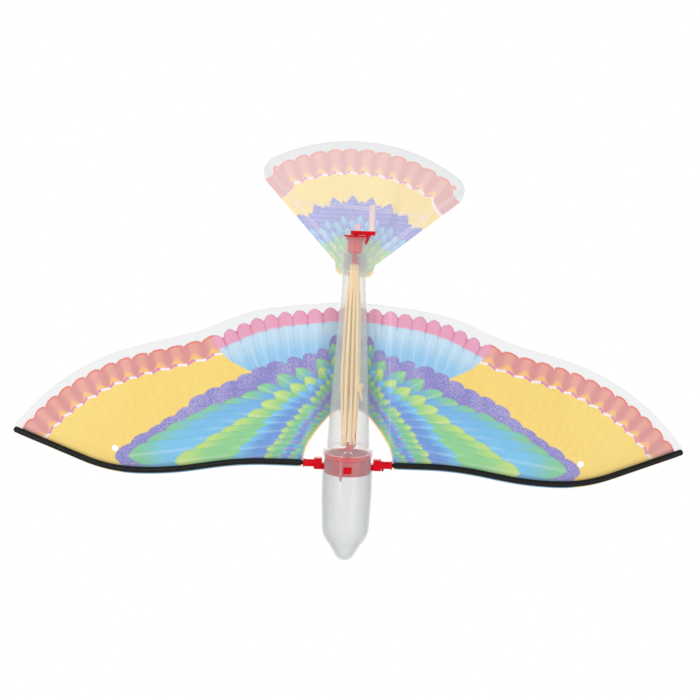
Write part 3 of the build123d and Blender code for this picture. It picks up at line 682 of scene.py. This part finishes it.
# Rings of leaves about that point: distance, number, length, width, colours of body and tip.
RINGS = (
    (52, 15, 30, 12.0, VIOLET, VIOLET, 0.8),
    (40, 13, 15, 7.0, VIOLET, SKY, 0.0),
    (35, 12, 13, 6.4, BLUE, SKY, 0.0),
    (30, 11, 12, 5.8, GREEN, LEAF, 0.0),
    (25, 10, 11, 5.2, GREEN, LIME, 0.0),
    (20, 9, 10, 4.8, LEAF, LIME, 0.0),
    (15, 8, 9, 4.4, LEAF, LIME, 0.0),
)


def print_tail(x, y, rear_edge):
    """The fan's print, painted paler than the wings' with light that comes through it from behind, in rings about the
    point where its sides would meet.
    """
    art = Print(x, y)
    run, depth = distance_to_line(x, y, rear_edge)
    streak = 0.5 + 0.5 * np.sin(tau * run / 4.3)
    art.lay(soft(depth - 12, 0.5), YELLOW + (AMBER - YELLOW) * (0.12 * streak)[:, None])
    salmon_band(art, run, depth, TAIL_MARGIN, TAIL_BAND, np.ones(len(x)))
    for reach, count, length, width, body, end, dots in RINGS:
        for number in range(count):
            spread = FAN_HALF_ANGLE * (2 * (number + 0.5) / count - 1) * 1.04
            far = reach * (1 + 0.03 * (-1) ** number)
            tip = (far * sin(spread), far * cos(spread) - FAN_APEX)
            art.feather(tip, pi / 2 - spread, length, width, body, end, dots, point=0.95)
    art.feather((0.6, 36 - FAN_APEX), pi / 2, 9, 3.8, PINK, PINK)
    # The thin print lets more light through: its colour is painted paler with that light from behind, and its cover
    # is thinner. The ribs are pressed in whitish.
    printed = soft(art.cover - 0.4, 0.2)[:, None]
    art.colour += (1 - art.colour) * 0.12 * printed
    art.cover += 0.08 * (1 - printed[:, 0]) - 0.2 * printed[:, 0]
    rib = rib_pattern(x, y)
    art.lay(0.5 * rib, WHITE, cover=0.8)
    art.lay(soft(0.6 - depth, 0.4) * (art.cover < 0.5), CLEAR, cover=0.4)
    return art


def rib_pattern(x, y):
    """1 on the fan's pressed ribs: a pair inside each straight side, and a pair across."""
    total = np.zeros(len(x))
    for side in (1, -1):
        inward = (y + FAN_APEX) * sin(FAN_HALF_ANGLE) - side * x * cos(FAN_HALF_ANGLE)
        for offset in SIDE_RIBS:
            total = np.maximum(total, soft(0.55 - np.abs(inward - offset), 0.4))
    reach = np.hypot(x, y + FAN_APEX)
    for offset in CROSS_RIBS:
        across = soft(0.55 - np.abs(y + FAN_APEX - offset + 0.0012 * x * x), 0.4)
        total = np.maximum(total, across * (reach < CROSS_REACH))
    return total


def add_tail():
    """The fan's film, one sheet with pressed ribs."""
    points, edges = cad_mesh(("tail_film",))
    rise, yaw = (sin(FAN_RISE), cos(FAN_RISE)), (sin(FAN_YAW), cos(FAN_YAW))
    forward = (points[:, 1] - FAN_ORIGIN_Y) / rise[1]
    flat = np.stack((points[:, 0] * yaw[1] + forward * yaw[0], forward * yaw[1] - points[:, 0] * yaw[0]), axis=1)
    low, high = flat[:, 0].min(), flat[:, 0].max()
    stations = np.concatenate((np.arange(low + FAN_SHY, high - FAN_SHY, FILM_STEP), [high - FAN_SHY]))
    front, rear = outline_at(stations, flat, edges)
    rows = int((rear - front).max() / FILM_STEP)
    x, y, faces = film_grid(stations, front, rear, rows)
    art = print_tail(x, y, np.stack((stations, rear), axis=1))
    wave = 0.5 * np.sin(x / 9 + 0.4) * np.clip((y - 20) / 60, 0, 1)
    lift = 0.35 * rib_pattern(x, y) + wave
    along = y * yaw[1] + x * yaw[0]
    side = x * yaw[1] - y * yaw[0]
    slope, offset = np.polyfit(points[:, 1], points[:, 2], 1)
    world_y = FAN_ORIGIN_Y + along * rise[1]
    place = np.stack((side, world_y, slope * world_y + offset + lift), axis=1) * MM
    film = make_film("tail_sheet", place, faces, art)
    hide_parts("tail_film")
    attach(film, "tail")


# ---------------------------------------------------------------- rubber motor
RUBBER_RADIUS = 0.92
RUBBER_SIDES = 12
FRONT_TURN_Y = 15.2       # where the loops go round the front hook
REAR_TURN_Y = 119.0       # and the winder's hook
MEET_Y = 67.0             # the front and rear halves meet here
HOOK_HALF = 1.0           # half the thickness of both hooks
HOOK_CLEAR = HOOK_HALF + RUBBER_RADIUS + 0.05
HOOK_SPAN = 4             # the runs start this far from where they turn
# Each loop's two runs: their x at the front hook, in the middle, nearer the winder and at its hook.
LOOPS = (
    ((-3.9, -5.2, -3.7, -2.2), (-2.9, -3.7, -2.6, -1.8)),
    ((-1.6, -2.2, -1.5, -0.9), (-0.9, -0.6, -0.5, -0.5)),
    ((1.5, 1.0, 0.7, 0.4), (2.2, 2.5, 1.8, 0.9)),
    ((2.9, 4.0, 2.9, 1.7), (3.6, 5.4, 3.9, 2.1)),
)
KNOT = (-5.3, 48.6, -1.3)
KNOT_SIZE = 2.2


def smooth_line(points, step):
    """Points at an even step along a smooth curve through some given ones."""
    points = np.array(points, float)
    padded = np.concatenate((2 * points[:1] - points[1:2], points, 2 * points[-1:] - points[-2:-1]))
    line = []
    for a, b, c, d in zip(padded, padded[1:], padded[2:], padded[3:]):
        count = max(2, int(np.linalg.norm(c - b) / step))
        t = np.linspace(0, 1, count, endpoint=False)[:, None]
        line.append(0.5 * (2 * b + (c - a) * t + (2 * a - 5 * b + 4 * c - d) * t**2 + (3 * b - a - 3 * c + d) * t**3))
    return np.concatenate((*line, points[-1:]))


def tube(line, radius, closed):
    """Points and faces of a round tube along a line, with open or closed ends; radius may differ along it."""
    sides = RUBBER_SIDES
    radius = np.broadcast_to(radius, len(line))
    ahead = np.gradient(line, axis=0)
    ahead /= np.linalg.norm(ahead, axis=1)[:, None]
    across = np.cross(ahead[0], (0.3, 0.2, 1.0))
    points, faces = [], []
    for index, (place, way) in enumerate(zip(line, ahead)):
        across = across - way * np.dot(across, way)
        across /= np.linalg.norm(across)
        up = np.cross(way, across)
        turn = np.linspace(0, tau, sides, endpoint=False)[:, None]
        points.append(place + radius[index] * (np.cos(turn) * across + np.sin(turn) * up))
        if index:
            first, last = (index - 1) * sides, index * sides
            for side in range(sides):
                after = (side + 1) % sides
                faces.append((first + side, first + after, last + after, last + side))
    if closed:
        faces.append(tuple(range(sides))[::-1])
        faces.append(tuple(range(len(points) * sides - sides, len(points) * sides)))
    return np.concatenate(points), faces


def rubber_object(name, tubes):
    """One object from several tubes, in latex."""
    points, faces, first = [], [], 0
    for place, skin in tubes:
        points.append(place)
        faces += [tuple(first + corner for corner in face) for face in skin]
        first += len(place)
    mesh = bpy.data.meshes.new(name)
    mesh.from_pydata((np.concatenate(points) * MM).tolist(), [], faces)
    mesh.shade_smooth()
    mesh.materials.append(rubber_material)
    rubber = bpy.data.objects.new(name, mesh)
    scene.collection.objects.link(rubber)
    return rubber


def run_x(run, y):
    """Where a run lies across the tube at y, bowing out between its two hooks."""
    return float(np.interp(y, (FRONT_TURN_Y + HOOK_SPAN, 52, 98, REAR_TURN_Y - HOOK_SPAN), run))


def add_rubber():
    """Four loops of band from the front hook to the winder's, a slack bow in each run, and the band's knot."""
    for place, body, turn_y, away in (("front", "crank", FRONT_TURN_Y, 1), ("rear", "winder", REAR_TURN_Y, -1)):
        tubes = []
        for number, (upper, lower) in enumerate(LOOPS):
            stations = np.linspace(MEET_Y, turn_y + HOOK_SPAN * away, 6)
            lift = 1.3 + 0.25 * number * (-1) ** number
            heights = [np.interp(abs(y - turn_y), (HOOK_SPAN, 30), (HOOK_CLEAR, lift)) for y in stations]
            there = [(run_x(upper, y), y, height) for y, height in zip(stations, heights)]
            back = [(run_x(lower, y), y, -height) for y, height in zip(stations, heights)]
            middle_x = 0.5 * (there[-1][0] + back[-1][0])
            depth = HOOK_CLEAR + 0.15 * number
            turn = [
                (middle_x, turn_y - away * (depth - 0.35), 0.75 * depth),
                (middle_x, turn_y - away * depth, 0.0),
                (middle_x, turn_y - away * (depth - 0.35), -0.75 * depth),
            ]
            tubes.append(tube(smooth_line([*there, *turn, *reversed(back)], 1.0), RUBBER_RADIUS, False))
        half = rubber_object(f"rubber_{place}", tubes)
        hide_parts(f"rubber_loops_{place}")
        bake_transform(half)
    add_knot()


def add_knot():
    """The overhand knot that closes the band, with its two cut ends."""
    centre = np.array(KNOT)
    turn = np.linspace(0, tau, 48)
    trefoil = np.stack(
        (np.sin(turn) + 2 * np.sin(2 * turn), np.cos(turn) - 2 * np.cos(2 * turn), -1.3 * np.sin(3 * turn)), axis=1
    )
    body = centre + trefoil * (KNOT_SIZE / 3)
    ends = [
        smooth_line([centre + (0.2, -0.6, 0), centre + (-0.9, -3.0, -0.5), centre + (-1.9, -8.4, 0.2)], 0.6),
        smooth_line([centre + (0.2, 0.8, 0), centre + (0.9, 3.6, -0.9), centre + (0.4, 7.2, -0.4)], 0.6),
    ]
    tubes = [tube(body, 0.95, True), *(tube(line, np.linspace(0.95, 0.8, len(line)), True) for line in ends)]
    knot = rubber_object("rubber_band_knot", tubes)
    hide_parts("rubber_knot")
    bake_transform(knot)


# ---------------------------------------------------------------- moulded pieces
RED_PIECES = (
    "frame_ring", "crank_disc", "front_hook", "wing_lever_left", "wing_lever_right", "rear_plug", "winder_shaft",
    "winder_arm",
)
CLEAR_FITTINGS = ("tail_collar", "film_rivet_front", "film_rivet_rear", "tail_rivets")
SHARP = radians(32)       # edges sharper than this are softened
BEVEL = 0.12


def dress_all():
    """Materials for the CAD pieces that show, with their edges softened."""
    red = moulded("red_plastic", (0.58, 0.001, 0.008), (0.74, 0.003, 0.016), 0.26)
    sleeve = soft_black("black_sleeve")
    rod = moulded("black_rod", (0.008, 0.008, 0.010), (0.016, 0.016, 0.018), 0.3)
    dress(RED_PIECES, red)
    dress(("spar_sleeve_left", "spar_sleeve_right", "spar_tip_cap_left", "spar_tip_cap_right"), sleeve)
    dress(("spar_rod_left", "spar_rod_right"), rod)
    dress(("hinge_pin_left", "hinge_pin_right", "thrust_washer"), steel())
    dress(("fuselage_tube",), clear("clear_tube", (0.90, 0.91, 0.91), 0.13, 0.56, 0.09))
    dress(("nose_shell",), clear("clear_nose", (0.60, 0.63, 0.64), 0.15, 0.55, 0.14))
    dress(CLEAR_FITTINGS, clear("clear_fittings", (0.78, 0.80, 0.80), 0.04, 0.26, 0.2))
    milky = moulded("milky_handle", (0.78, 0.64, 0.68), (0.86, 0.74, 0.77), 0.34)
    surface = milky.node_tree.nodes["Principled BSDF"]
    surface.inputs["Subsurface Weight"].default_value = 0.3
    surface.inputs["Subsurface Radius"].default_value = (0.003, 0.002, 0.002)
    dress(("handle_sleeve",), milky)
    for name in (*RED_PIECES, "handle_sleeve", "tail_collar"):
        bevel = nodes[name].modifiers.new("softened_edges", "BEVEL")
        bevel.width = BEVEL * MM
        bevel.segments = 2
        bevel.limit_method = "ANGLE"
        bevel.angle_limit = SHARP


# ---------------------------------------------------------------- the scene
film_material = printed_film("printed_film")
rubber_material = latex()
add_camera()
add_world()
add_floor()
for light in LIGHTS:
    add_light(*light)
dress_all()
add_wings()
add_tail()
add_rubber()
